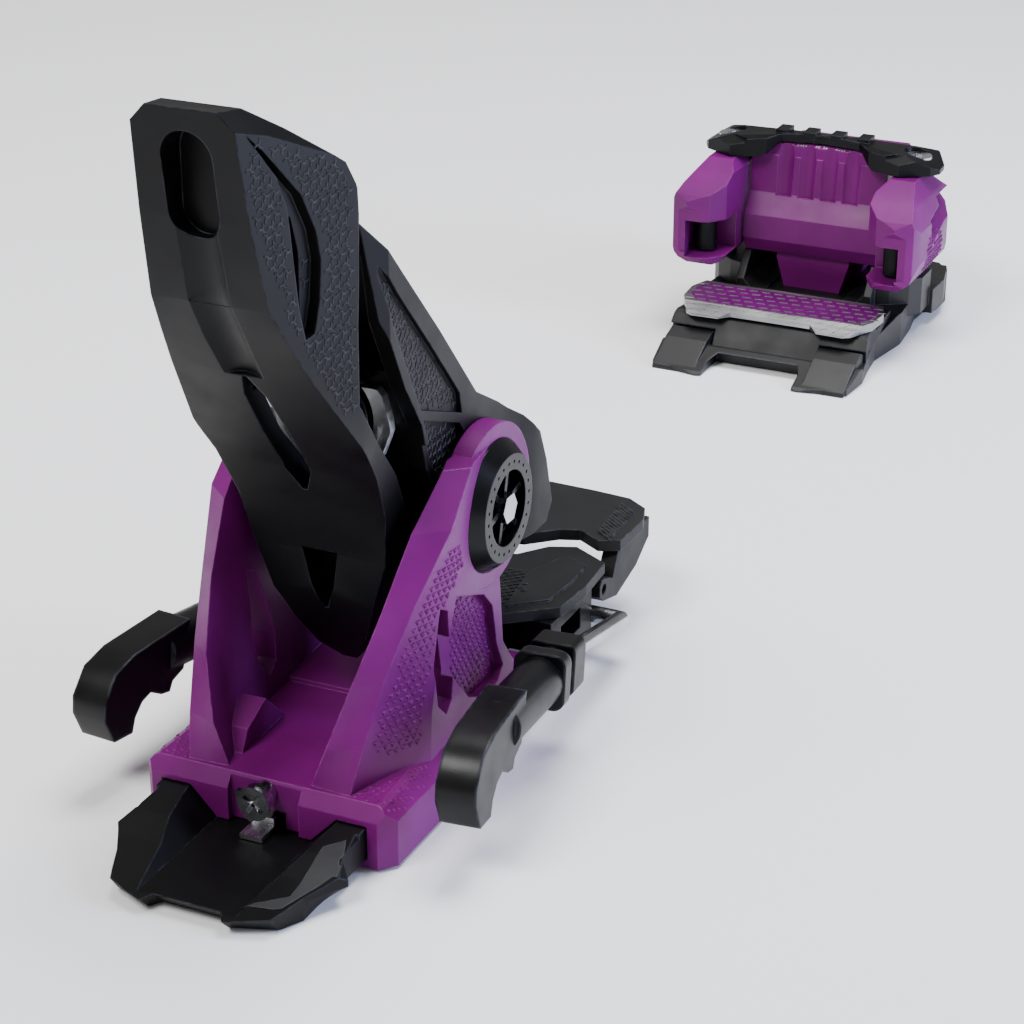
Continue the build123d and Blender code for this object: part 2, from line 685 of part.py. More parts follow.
with BuildPart() as heel_plate:
    prism(Plane.XY.offset(DECK_TOP_Z - DECK_THICK), mirrored_plan(DECK_PLAN), DECK_THICK)
    # the notch between the two rails that reach back over the block
    with Locations((0, 31, 20)):
        Box(24, 22, 8, align=(Align.CENTER, Align.MIN, Align.MIN), mode=Mode.SUBTRACT)
    # legs under the rails, cut to the block's sloping top
    for side in (1, -1):
        with Locations((side * 15.25, 38, 12)):
            Box(6.0, 13, DECK_TOP_Z - DECK_THICK - 12, align=FROM_BOTTOM)
    prism(Plane.YZ, BLOCK_SIDE, BLOCK_HALF, Mode.SUBTRACT, both=True)
    # raised edge and grip ribs
    for side in (1, -1):
        prism(
            Plane.XY.offset(DECK_TOP_Z),
            [(side * x, y) for x, y in ((19, 49), (28, 57), (29, 70), (28.5, 80), (21, 84), (16, 70))],
            0.6,
        )
        for i in range(6):
            with Locations((side * (14.6 - 0.2 * i), 33.5 + 2.4 * i, DECK_TOP_Z)):
                Box(5.4, 1.1, 0.7, align=FROM_BOTTOM)
save(heel_plate, "heel_plate")

with BuildPart() as brake_bracket:
    prism(Plane.YZ, BRACKET_SIDE, 31.5, both=True)
    # hollow between the ribs
    for x in (-22.5, -8, 8, 22.5):
        with Locations((x, 63.5, 9)):
            Box(11, 17, 10.5, align=FROM_BOTTOM, mode=Mode.SUBTRACT)
    # slots that open the sides
    with Locations((0, 63, 11.5)):
        Box(70, 13, 6, align=FROM_BOTTOM, mode=Mode.SUBTRACT)
    # narrower between the pedal's skirts, with bores for its pins
    for side in (1, -1):
        with Locations((side * 37.8, 77, 0)):
            Box(20, 20, 30, align=(Align.CENTER, Align.MIN, Align.MIN), mode=Mode.SUBTRACT)
        rod(x_plane(side * 20.6, PEDAL_HINGE_Y, PEDAL_HINGE_Z), PEDAL_HINGE_R, side * 10, Mode.SUBTRACT)
    # clear of the rails when the carriage moves back
    prism(Plane.XZ.offset(-66), mirrored(track_section(GAP)), 16, Mode.SUBTRACT)
    # bore for the brake wire
    rod(x_plane(-40, BRAKE_Y, BRAKE_Z), WIRE_R + SHAFT_GAP, 80, Mode.SUBTRACT)
    # room for the brake spring
    with Locations((0, BRAKE_Y, BRAKE_Z)):
        Box(26, 9.4, 8.6, mode=Mode.SUBTRACT)
save(brake_bracket, "brake_bracket")

with BuildPart() as pedal_pins:
    for side in (1, -1):
        rod(x_plane(side * 20.6, PEDAL_HINGE_Y, PEDAL_HINGE_Z), PEDAL_HINGE_R, side * 9.4)
save(pedal_pins, "pedal_pins")


# ---------------------------------------------------------------- brake
WIRE_BEND = (WIRE_X + 1.5, BRAKE_Y, BRAKE_Z + 0.6)
WIRE_MID = (40.6, 46, 18.2)
WIRE_COLLAR = (43.0, 24, 23.0)
WIRE_END = (46.8, -16, 27.8)


def between(start, end, radius, mode=Mode.ADD):
    """A round bar from start to end with a ball at each end."""
    offset = Vector(*end) - Vector(*start)
    rod(Plane(origin=start, z_dir=offset.normalized()), radius, offset.length, mode)
    for point in (start, end):
        with Locations(point):
            Sphere(radius, mode=mode)


def flip(point, side):
    return (side * point[0], point[1], point[2])


with BuildPart() as brake_wire:
    rod(x_plane(-WIRE_X - 1.5, BRAKE_Y, BRAKE_Z), WIRE_R, 2 * WIRE_X + 3)
    for side in (1, -1):
        knee = (side * (WIRE_X + 1.5), BRAKE_Y, BRAKE_Z)
        between(knee, flip(WIRE_MID, side), WIRE_R)
        between(flip(WIRE_MID, side), flip(WIRE_COLLAR, side), WIRE_R)
        between(flip(WIRE_COLLAR, side), flip(WIRE_END, side), WIRE_R)
save(brake_wire, "brake_wire")


def along_grip(side, distance):
    """A plane across one arm, a distance behind the collar, facing the grip's tip."""
    start = Vector(*flip(WIRE_COLLAR, side))
    way = (Vector(*flip(WIRE_END, side)) - start).normalized()
    origin = start + way * distance
    return Plane(origin=origin, x_dir=(1, 0, 0), z_dir=way)


with BuildPart() as grip_collars:
    for side in (1, -1):
        with BuildSketch(along_grip(side, -9.0)) as block:
            RectangleRounded(12.4, 13.6, 2.0)
        extrude(block.sketch, amount=8.5)
        with BuildSketch(along_grip(side, -0.5)) as neck:
            Circle(5.4)
        extrude(neck.sketch, amount=5.0)
        with BuildSketch(along_grip(side, 4.5)) as band:
            RectangleRounded(13.6, 14.6, 3.0)
        extrude(band.sketch, amount=4.5)
        between(flip(WIRE_MID, side), flip(WIRE_COLLAR, side), WIRE_R, Mode.SUBTRACT)
        between(flip(WIRE_COLLAR, side), flip(WIRE_END, side), WIRE_R, Mode.SUBTRACT)
save(grip_collars, "grip_collars")

GRIP_BLADE = [
    (-8, 34.2),
    (-30, 34.0),
    (-38, 32.0),
    (-43, 26.0),
    (-43.5, 21.5),
    (-40.5, 14.5),
    (-33.5, 13.8),
    (-32.0, 17.5),
    (-29.0, 20.4),
    (-25.5, 21.4),
    (-21.5, 19.0),
    (-18.0, 18.2),
    (-16.6, 20.6),
    (-12.0, 22.0),
]

with BuildPart() as brake_grips:
    for side in (1, -1):
        with BuildSketch(along_grip(side, 9.0)) as tube:
            Circle(GRIP_R)
        extrude(tube.sketch, amount=32)
        lean = Plane(origin=(side * 46.0, -8, 0), x_dir=(-side * 0.095, 1, 0), z_dir=(1, side * 0.095, 0))
        blade = [(y + 8, z) for y, z in GRIP_BLADE]
        prism(lean, blade, 5.0, both=True)
        between(flip(WIRE_COLLAR, side), flip(WIRE_END, side), WIRE_R, Mode.SUBTRACT)
save(brake_grips, "brake_grips")

coil("brake_spring", x_plane(-11.6, BRAKE_Y, BRAKE_Z), 3.4, 0.6, 23.2, 14)


# ---------------------------------------------------------------- brake pedal
PEDAL_PLAN = [
    (0, 120.5),
    (14, 120.0),
    (25, 119.0),
    (31.5, 114.5),
    (34.0, 107),
    (33.6, 92),
    (28, 89.2),
    (21, 93.6),
    (15.5, 91.5),
    (8, 84.5),
    (0, 83.8),
]

PEDAL_SKIRT = [
    (80.2, 18.6),
    (80.2, 15.6),
    (82.6, 13.6),
    (92, 11.2),
    (106, 14.5),
    (115, 19.6),
    (115, 25.5),
    (93.5, 25.5),
    (90.2, 20.2),
    (89.0, 17.8),
    (83.4, 20.0),
    (81.6, 20.2),
]

with BuildPart() as brake_pedal:
    prism(Plane.XY.offset(PEDAL_TOP_Z - 3.2), mirrored_plan(PEDAL_PLAN), 3.2)
    # skirts beside the bracket, and the front wall
    for side in (1, -1):
        prism(Plane.YZ.offset(side * 28.2), PEDAL_SKIRT, side * 4.4)
        for i in range(13):
            slat = Location((side * (28.4 - 0.1 * i), 92.6 + 1.6 * i, PEDAL_TOP_Z), (0, 0, side * -38))
            with Locations(slat):
                Box(6.6, 0.8, 0.5, align=FROM_BOTTOM)
    prism(Plane.YZ, [(116.5, 26), (118.5, 26), (117.5, 20.5), (115.5, 20.5)], 17, both=True)
    for side in (1, -1):
        bore = x_plane(side * 27, PEDAL_HINGE_Y, PEDAL_HINGE_Z)
        rod(bore, PEDAL_HINGE_R + SHAFT_GAP, side * 6, Mode.SUBTRACT)
save(brake_pedal, "brake_pedal")


# ---------------------------------------------------------------- toe base
def ramp_z(y):
    """Height of the sloping slide at y."""
    return RAMP_Z + (y - RAMP_Y) * sin(radians(RAMP_DEG)) / cos(radians(RAMP_DEG))


def ramp_band(rear_y, front_y, low, high):
    """Side outline of a slab parallel to the slide, between two heights above it."""
    return [
        (rear_y, ramp_z(rear_y) + low),
        (front_y, ramp_z(front_y) + low),
        (front_y, ramp_z(front_y) + high),
        (rear_y, ramp_z(rear_y) + high),
    ]


BASE_PLAN = [
    (16.4, 283.5),
    (18.6, 283),
    (35.2, 286.5),
    (36.4, 300),
    (34.6, 312),
    (33.6, 322),
    (36.8, 342),
    (35.6, 358),
    (34.0, 368),
    (34.6, 377),
    (38.0, 381),
    (38.4, 393),
    (35.0, 403),
    (22, TOE_FRONT_Y),
]
BASE_SIDE = [
    (283, 0),
    (284, 1.2),
    (298, 5.6),
    (299.2, 5.6),
    (300.2, ramp_z(300.2)),
    (341, ramp_z(341)),
    (341.5, 16),
    (349, 24.6),
    (384, 24.6),
    (398, 12),
    (404, 8),
    (TOE_FRONT_Y, 5),
    (TOE_FRONT_Y, 0),
]

with BuildPart() as toe_base:
    prism(Plane.XY, mirrored(BASE_PLAN), 11.8)
    with BuildSketch(Plane.XY) as riser:
        with Locations((0, 369)):
            Rectangle(2 * 25.2, 58)
    extrude(riser.sketch, amount=30)
    prism(Plane.YZ, BASE_SIDE, 45, Mode.INTERSECT, both=True)
    # arch between the rear feet
    prism(
        Plane.XZ.offset(-280),
        [(-16.4, -1), (-16.4, 3.0), (-14.4, 4.6), (14.4, 4.6), (16.4, 3.0), (16.4, -1)],
        -19,
        Mode.SUBTRACT,
    )
    # arches beside the housing's stem, and the stem's own seat
    for side in (1, -1):
        prism(
            Plane.XZ.offset(-340),
            [(side * x, z) for x, z in ((14.6, 13), (14.6, 30), (22.5, 30), (22.5, 16), (19.5, 13))],
            -46,
            Mode.SUBTRACT,
        )
    with Locations((0, 370, 12)):
        Box(29.2, 60, 20, align=FROM_BOTTOM, mode=Mode.SUBTRACT)
    # raised heels of the rear feet
    for side in (1, -1):
        prism(
            Plane.YZ.offset(side * 19.4),
            [(284.4, 0), (285, 1.4), (297, 7.4), (303.4, 9.2), (305.4, 8.2), (305.4, 3), (300, 0)],
            side * 15.2,
        )
    # feet of the wing axles, and the lobes in front of them
    for side in (1, -1):
        foot = ((25, 346), (30, 348), (36, 352), (39.2, 357), (39.2, 368), (25, 372))
        lobe = ((25, 366), (40.6, 367), (41, 380), (38.6, 391), (34, 397), (25, 398))
        prism(Plane.XY.offset(7), [(side * x, y) for x, y in foot], 13.4)
        prism(Plane.XY.offset(4), [(side * x, y) for x, y in lobe], 9.0)
        with Locations((side * WING_AXLE_X, WING_AXLE_Y, 9)):
            Cylinder(WING_AXLE_R, 20, align=FROM_BOTTOM, mode=Mode.SUBTRACT)
    # T-slot of the slide
    prism(Plane.YZ, ramp_band(302.5, 340, -1.5, 2), 6.3, Mode.SUBTRACT, both=True)
    prism(Plane.YZ, ramp_band(302.5, 340, -3.8, -1.5), 10.3, Mode.SUBTRACT, both=True)
    # screw holes with seats for the heads
    with Locations((0, (TOE_SCREW_REAR_Y + TOE_SCREW_FRONT_Y) / 2, 0)):
        with GridLocations(2 * TOE_SCREW_X, TOE_SCREW_FRONT_Y - TOE_SCREW_REAR_Y, 2, 2):
            Cylinder(SCREW_HOLE_R, 80, mode=Mode.SUBTRACT)
    for y, seat in ((TOE_SCREW_REAR_Y, 4.0), (TOE_SCREW_FRONT_Y, 6.0)):
        with Locations((TOE_SCREW_X, y, seat), (-TOE_SCREW_X, y, seat)):
            Cylinder(SCREW_HEAD_R, 40, align=FROM_BOTTOM, mode=Mode.SUBTRACT)
save(toe_base, "toe_base")


# ---------------------------------------------------------------- sole plate and its carrier
SOLE_TOP_Z = 17.0
CARRIER_TOP_Z = 13.8
CARRIER_SIDE = [
    (300.6, ramp_z(300.6) + GAP),
    (306.7, 12.8),
    (308.6, CARRIER_TOP_Z),
    (337, CARRIER_TOP_Z),
    (337, ramp_z(337) + GAP),
]

with BuildPart() as afd_carrier:
    prism(Plane.YZ, CARRIER_SIDE, 40, both=True)
    prism(
        Plane.XY,
        mirrored([(34.6, 299), (35.7, 304.9), (34.4, 312), (34.0, 338)]),
        30,
        Mode.INTERSECT,
    )
    prism(Plane.YZ, ramp_band(306.5, 334, -2.0, GAP + 0.2), 6.0, both=True)
    prism(Plane.YZ, ramp_band(306.5, 334, -3.5, -1.8), 10.0, both=True)
    # clear of the raised heels
    for side in (1, -1):
        with Locations((side * 30, 295, 0)):
            Box(22, 21.8, 19.2, mode=Mode.SUBTRACT)
    # guide across the carrier for the sole plate
    with Locations((0, 322, CARRIER_TOP_Z - 1.4)):
        Box(70, 5.2, 4, align=FROM_BOTTOM, mode=Mode.SUBTRACT)
    # the base's rear screws stay reachable
    for side in (1, -1):
        with Locations((side * TOE_SCREW_X, TOE_SCREW_REAR_Y, 0)):
            Cylinder(SCREW_HEAD_R, 12.2, align=FROM_BOTTOM, mode=Mode.SUBTRACT)
save(afd_carrier, "afd_carrier")

SOLE_PLAN = [
    (0, 306.5),
    (14.5, 306.5),
    (18, 302.8),
    (27.5, 302.4),
    (30, 304),
    (34.8, 314),
    (35.5, 324),
    (33.0, 331.6),
    (0, 331.6),
]
INLAY_PLAN = [(0, 310.4), (28.5, 310.4), (33.4, 316.5), (33.8, 323.5), (31.5, 329.8), (0, 329.8)]

with BuildPart() as afd_plate:
    prism(Plane.XY.offset(CARRIER_TOP_Z + GAP), mirrored_plan(SOLE_PLAN), SOLE_TOP_Z - CARRIER_TOP_Z - GAP)
    # the rear edge slopes up from the carrier
    prism(
        Plane.YZ,
        [(300, 14.6), (303, 14.6), (309.5, SOLE_TOP_Z), (309.5, 20), (300, 20)],
        40,
        Mode.SUBTRACT,
        both=True,
    )
    prism(Plane.XY.offset(SOLE_TOP_Z - 0.8), mirrored_plan(INLAY_PLAN), 2, Mode.SUBTRACT)
    # key in the carrier's guide
    with Locations((0, 322, CARRIER_TOP_Z - 1.0)):
        Box(40, 4.4, 1.6, align=FROM_BOTTOM)
save(afd_plate, "afd_plate")

with BuildPart() as afd_inlay:
    prism(Plane.XY.offset(SOLE_TOP_Z - 0.8), mirrored_plan(INLAY_PLAN), 0.8)
save(afd_inlay, "afd_inlay")


# ---------------------------------------------------------------- toe housing
TOE_BORE_Y = 366.0
TOE_WINDOW_Y = 388.2
TOE_WINDOW_Z = 55.4
HOUSING_SIDE = [
    (349.6, 24.9),
    (346.6, 30),
    (347.2, 38.5),
    (350.2, 43.5),
    (352.0, 46),
    (353.5, 59.6),
    (370, 59.6),
    (377, 58.4),
    (396, 57.2),
    (404, 50),
    (406, 42),
    (405, 30),
    (398, 24.9),
]
HOUSING_PLAN = [(25.2, 340), (25.2, 372), (22, 392), (16, 406)]

with BuildPart() as toe_housing:
    prism(Plane.YZ, HOUSING_SIDE, 30, both=True)
    prism(Plane.XY, mirrored(HOUSING_PLAN), 70, Mode.INTERSECT)
    # stem that is seated in the base
    prism(Plane.XZ.offset(-351), mirrored([(10.4, 12.0), (13.5, 22.5), (13.5, 25.5)]), -42)
    # crown under the bar's arch
    prism(Plane.YZ, [(353.4, 58), (354.6, 63.4), (356, 64.4), (366, 64.4), (366, 58)], 20, both=True)
    for side in (1, -1):
        prism(
            Plane.XZ.offset(-350),
            [(side * x, z) for x, z in ((20.4, 59.6), (15.0, 64.6), (15.0, 70), (30, 70), (30, 59.6))],
            -20,
            Mode.SUBTRACT,
        )
    # flutes in the rear face
    for x in (-12.3, -4.1, 4.1, 12.3):
        rod(Plane(origin=(x, 348.3, 45.8), z_dir=(0, 0.13, 1)), 4.6, 19, Mode.SUBTRACT)
    # bore of the spring, open at the front
    rod(y_plane(0, TOE_BORE_Y, TOE_SPRING_Z), TOE_SPRING_R + SHAFT_GAP, 60, Mode.SUBTRACT)
    # window that shows the setting
    with Locations((0, TOE_WINDOW_Y, TOE_SPRING_Z + 6)):
        Box(5, 11.6, 20, align=FROM_BOTTOM, mode=Mode.SUBTRACT)
    with Locations((0, TOE_WINDOW_Y, TOE_WINDOW_Z)):
        Box(7.4, 12.8, 20, align=FROM_BOTTOM, mode=Mode.SUBTRACT)
save(toe_housing, "toe_housing")

with BuildPart() as toe_window:
    with Locations((0, TOE_WINDOW_Y, TOE_WINDOW_Z)):
        Box(7.4, 12.8, 1.4, align=FROM_BOTTOM)
save(toe_window, "toe_window")

with BuildPart() as toe_screw:
    # plug with a slotted cap and a threaded stem
    rod(y_plane(0, 401, TOE_SPRING_Z), TOE_SPRING_R, 6.6)
    rod(y_plane(0, 376, TOE_SPRING_Z), 2.5, 26)
    with Locations((0, TOE_FRONT_Y - 0.4, TOE_SPRING_Z)):
        Box(14, 3.4, 2.4, mode=Mode.SUBTRACT)
save(toe_screw, "toe_screw")

with BuildPart() as toe_nut:
    # setting nut with a pointer under the window
    rod(y_plane(0, 383.5, TOE_SPRING_Z), TOE_SPRING_R - 0.4, 3.4)
    with Locations((0, 385.2, TOE_SPRING_Z + 7)):
        Box(3.4, 2.6, 3.8, align=FROM_BOTTOM)
    rod(y_plane(0, 380, TOE_SPRING_Z), 2.5 + SHAFT_GAP, 10, Mode.SUBTRACT)
save(toe_nut, "toe_nut")

with BuildPart() as toe_piston:
    rod(y_plane(0, TOE_BORE_Y, TOE_SPRING_Z), TOE_SPRING_R, 3.4)
    rod(y_plane(0, TOE_BORE_Y + 3.4, TOE_SPRING_Z), 2.5, 4.6)
save(toe_piston, "toe_piston")

coil("toe_spring", y_plane(0, TOE_BORE_Y + 4.8, TOE_SPRING_Z), 6.4, 1.0, 10.4, 3)


# ---------------------------------------------------------------- bar over the toe housing
AXLE_SEAT_Z = 62.6
BAR_PLAN = [
    (0, 355.5),
    (14, 354.5),
    (19, 349.5),
    (31, 345.6),
    (41.2, 351),
    (43.4, 355),
    (43.2, 361),
    (39, 369),
    (31, 376.5),
    (0, 380),
]

with BuildPart() as toe_bar:
    prism(Plane.XY.offset(59.6), mirrored_plan(BAR_PLAN), 9)
    # the top falls to the sides and to the front
    prism(
        Plane.XZ.offset(-330),
        mirrored_plan([(0, 50), (50, 50), (50, 57), (41, 62.8), (37, 64.8), (32, 66.2), (0, 68.4)]),
        -60,
        Mode.INTERSECT,
    )
    slope = [(330, 55), (330, 62), (346, 65.4), (356, 68), (360, 67.6), (382, 58.6), (382, 55)]
    prism(Plane.YZ, slope, 50, Mode.INTERSECT, both=True)
    # the middle is arched over the flutes
    prism(
        Plane.XZ.offset(-340),
        mirrored_plan([(0, 50), (20.8, 50), (20.6, 59.6), (15.2, 64.6), (0, 65.0)]),
        -26.3,
        Mode.SUBTRACT,
    )
    # grip ribs across the top
    for x in (-15, -5, 5, 15):
        with Locations((x, 358.6, 66.0)):
            Box(4.4, 7, 2.7, align=FROM_BOTTOM)
    # seats and bores for the axles
    for side in (1, -1):
        with Locations((side * WING_AXLE_X, WING_AXLE_Y, 50)):
            Cylinder(WING_AXLE_R, 30, align=FROM_BOTTOM, mode=Mode.SUBTRACT)
        with Locations((side * WING_AXLE_X, WING_AXLE_Y, AXLE_SEAT_Z)):
            Cylinder(5.0, 30, align=FROM_BOTTOM, mode=Mode.SUBTRACT)
        # scooped recess behind each screw
        with Locations(Location((side * 32, 347.6, 66.4), (24, 0, side * 22))):
            Box(12, 5.5, 3.4, mode=Mode.SUBTRACT)
save(toe_bar, "toe_bar")

with BuildPart() as wing_axles:
    for side in (1, -1):
        with Locations((side * WING_AXLE_X, WING_AXLE_Y, 10)):
            Cylinder(WING_AXLE_R, AXLE_SEAT_Z - 9, align=FROM_BOTTOM)
        with Locations((side * WING_AXLE_X, WING_AXLE_Y, AXLE_SEAT_Z)):
            Cylinder(4.9, 2.0, align=FROM_BOTTOM)
        with BuildSketch(Plane.XY.offset(AXLE_SEAT_Z + 0.6)) as socket:
            with Locations((side * WING_AXLE_X, WING_AXLE_Y)):
                RegularPolygon(2.4, 6)
        extrude(socket.sketch, amount=5, mode=Mode.SUBTRACT)
save(wing_axles, "wing_axles")


# ---------------------------------------------------------------- wings and rollers
WING_PLAN = [
    (26.0, 352),
    (26.2, 331),
    (30.5, 325.5),
    (38, 322.6),
    (44, 325.5),
    (45.2, 331),
    (45.2, 345),
    (44.4, 366),
    (41, 373.5),
    (36, 376),
    (33, 370),
    (29, 364.5),
    (26.4, 358),
]
WING_REAR = [
    (27.6, 25.4),
    (31, 24.2),
    (38, 24.4),
    (43.4, 28.4),
    (45.2, 34),
    (45.2, 45.6),
    (42.0, 53),
    (38.0, 59.2),
    (29.0, 59.2),
    (24.0, 54),
    (24.0, 30),
]
WING_SIDE = [
    (322.4, 29.4),
    (326, 25),
    (332, 23.8),
    (377, 24.0),
    (377, 47),
    (366, 53.5),
    (358, 59.3),
    (344, 59.3),
    (334, 55),
    (324.5, 50),
    (322, 47.5),
    (324.4, 44.4),
    (324.4, 29.2),
]
WINDOW_HEIGHT = 13.2
WINDOW_PLAN = [(20, 321), (20, 341.4), (38.6, 341.4), (40.4, 339), (40.4, 329), (38, 321)]


def toe_wing(side, name):
    """One wing: a jaw above and below the roller, and an eye around the axle."""
    with BuildPart() as wing:
        prism(Plane.XY.offset(15), [(side * x, y) for x, y in WING_PLAN], 50)
        prism(Plane.XZ.offset(-315), [(side * x, z) for x, z in WING_REAR], -70, Mode.INTERSECT)
        prism(Plane.YZ, WING_SIDE, side * 60, Mode.INTERSECT)
        # room for the roller
        window = [(side * x, y) for x, y in WINDOW_PLAN]
        prism(Plane.XY.offset(ROLLER_LOW_Z), window, WINDOW_HEIGHT, Mode.SUBTRACT)
        # groove down the outer side
        fall = Plane(origin=(0, 343, 42.6), x_dir=(1, 0, 0), z_dir=(0, -0.976, -0.22))
        prism(fall, [(side * 40.8, 0), (side * 48, 7.4), (side * 48, -9.6)], -42, Mode.SUBTRACT)
        waist = [(side * 36.8, 48.4), (side * 48, 54.6), (side * 48, 38.4)]
        prism(Plane.XZ.offset(-355), waist, -30, Mode.SUBTRACT)
        with Locations((side * WING_AXLE_X, WING_AXLE_Y, 0)):
            Cylinder(WING_AXLE_R + SHAFT_GAP, 100, align=FROM_BOTTOM, mode=Mode.SUBTRACT)
        with Locations((side * ROLLER_X, ROLLER_Y, ROLLER_LOW_Z - 2)):
            Cylinder(ROLLER_PIN_R, WINDOW_HEIGHT + 5, align=FROM_BOTTOM, mode=Mode.SUBTRACT)
    return save(wing, name)


toe_wing(1, "toe_wing_right")
toe_wing(-1, "toe_wing_left")

for side, name in ((1, "toe_roller_right"), (-1, "toe_roller_left")):
    with BuildPart() as roller:
        with Locations((side * ROLLER_X, ROLLER_Y, ROLLER_LOW_Z + 0.6)):
            Cylinder(ROLLER_R, WINDOW_HEIGHT - 1.0, align=FROM_BOTTOM)
            Cylinder(ROLLER_PIN_R + SHAFT_GAP, 30, align=FROM_BOTTOM, mode=Mode.SUBTRACT)
    save(roller, name)

for side, name in ((1, "roller_pin_right"), (-1, "roller_pin_left")):
    with BuildPart() as pin:
        with Locations((side * ROLLER_X, ROLLER_Y, ROLLER_LOW_Z - 2)):
            Cylinder(ROLLER_PIN_R, WINDOW_HEIGHT + 5, align=FROM_BOTTOM)
    save(pin, name)
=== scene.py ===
import json
import math

import bmesh
import bpy
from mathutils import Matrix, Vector
from mathutils.bvhtree import BVHTree
from mathutils.geometry import delaunay_2d_cdt


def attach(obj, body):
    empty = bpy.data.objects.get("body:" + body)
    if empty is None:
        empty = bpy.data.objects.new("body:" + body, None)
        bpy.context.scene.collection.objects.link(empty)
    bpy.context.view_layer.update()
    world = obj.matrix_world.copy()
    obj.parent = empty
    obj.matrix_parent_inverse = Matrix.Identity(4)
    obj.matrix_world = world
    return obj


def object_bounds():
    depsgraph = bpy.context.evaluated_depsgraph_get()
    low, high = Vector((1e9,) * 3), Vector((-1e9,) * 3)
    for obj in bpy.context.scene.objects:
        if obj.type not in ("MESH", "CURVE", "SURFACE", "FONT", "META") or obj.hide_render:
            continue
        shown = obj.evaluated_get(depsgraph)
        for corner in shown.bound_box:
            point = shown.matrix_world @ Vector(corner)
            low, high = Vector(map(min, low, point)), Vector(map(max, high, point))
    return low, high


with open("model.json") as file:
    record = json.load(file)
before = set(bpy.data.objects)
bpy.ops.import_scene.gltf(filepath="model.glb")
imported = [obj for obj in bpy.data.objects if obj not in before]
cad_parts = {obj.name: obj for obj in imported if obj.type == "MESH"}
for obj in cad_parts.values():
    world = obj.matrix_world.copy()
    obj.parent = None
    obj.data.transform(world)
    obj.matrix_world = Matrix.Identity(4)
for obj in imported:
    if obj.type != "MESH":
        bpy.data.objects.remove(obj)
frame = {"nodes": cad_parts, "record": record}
nodes = frame["nodes"]
cad_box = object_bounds()
scene = bpy.context.scene
MM = 0.001


# ---------------------------------------------------------------- camera

camera = bpy.data.objects.new("camera", bpy.data.cameras.new("camera"))
scene.collection.objects.link(camera)
camera.data.lens = 92.32
camera.data.sensor_width = 36.0
camera.data.clip_start = 0.02
camera.data.dof.use_dof = False
camera.location = (0.2786, -0.5080, 0.3284)
camera.rotation_mode = "QUATERNION"
camera.rotation_quaternion = Vector((-0.3828, 0.8273, -0.4111)).to_track_quat("-Z", "Y")
scene.camera = camera


# ------------------------------------------------------------- materials


EDGE_STARTS = 0.985  # cosine between face and rounded normal, where an edge begins to show
EDGE_FULL = 0.90  # and where it shows in full


class Look:
    """A node material on one Principled shader, with short calls for the nodes that shape it."""

    def __init__(self, name):
        self.material = bpy.data.materials.new(name)
        self.material.use_nodes = True
        self.tree = self.material.node_tree
        self.shader = self.tree.nodes["Principled BSDF"]
        self.coordinates = self.add("TexCoord").outputs["Object"]

    def add(self, kind, **settings):
        node = self.tree.nodes.new("ShaderNode" + kind)
        for key, value in settings.items():
            setattr(node, key, value)
        return node

    def link(self, source, target):
        self.tree.links.new(source, target)

    def place(self, scale):
        """The coordinates, stretched by a scale on each axis."""
        mapping = self.add("Mapping")
        mapping.inputs["Scale"].default_value = scale
        self.link(self.coordinates, mapping.inputs["Vector"])
        return mapping.outputs["Vector"]

    def noise(self, scale, detail=2.0, vector=None, rough=0.5):
        node = self.add("TexNoise")
        node.inputs["Scale"].default_value = scale
        node.inputs["Detail"].default_value = detail
        node.inputs["Roughness"].default_value = rough
        self.link(vector or self.coordinates, node.inputs["Vector"])
        return node.outputs["Fac"]

    def ramp(self, value, low, high, to_low=0.0, to_high=1.0):
        node = self.add("MapRange")
        node.inputs["From Min"].default_value = low
        node.inputs["From Max"].default_value = high
        node.inputs["To Min"].default_value = to_low
        node.inputs["To Max"].default_value = to_high
        self.link(value, node.inputs["Value"])
        return node.outputs["Result"]

    def times(self, a, b):
        node = self.add("Math", operation="MULTIPLY")
        for value, socket in ((a, node.inputs[0]), (b, node.inputs[1])):
            if isinstance(value, float):
                socket.default_value = value
            else:
                self.link(value, socket)
        return node.outputs[0]

    def mix(self, factor, a, b):
        node = self.add("Mix", data_type="RGBA")
        for value, socket in ((factor, node.inputs[0]), (a, node.inputs[6]), (b, node.inputs[7])):
            if isinstance(value, tuple):
                socket.default_value = (*value, 1.0)
            elif isinstance(value, float):
                socket.default_value = value
            else:
                self.link(value, socket)
        return node.outputs[2]

    def rounded(self, radius):
        """The normal with its edges rounded, and a mask that is 1 on those edges."""
        bevel = self.add("Bevel", samples=6)
        bevel.inputs["Radius"].default_value = radius
        dot = self.add("VectorMath", operation="DOT_PRODUCT")
        self.link(bevel.outputs["Normal"], dot.inputs[0])
        self.link(self.add("NewGeometry").outputs["Normal"], dot.inputs[1])
        return bevel.outputs["Normal"], self.ramp(dot.outputs["Value"], EDGE_STARTS, EDGE_FULL)

    def bump(self, height, distance, normal=None):
        node = self.add("Bump")
        node.inputs["Distance"].default_value = distance
        self.link(height, node.inputs["Height"])
        if normal is not None:
            self.link(normal, node.inputs["Normal"])
        return node.outputs["Normal"]


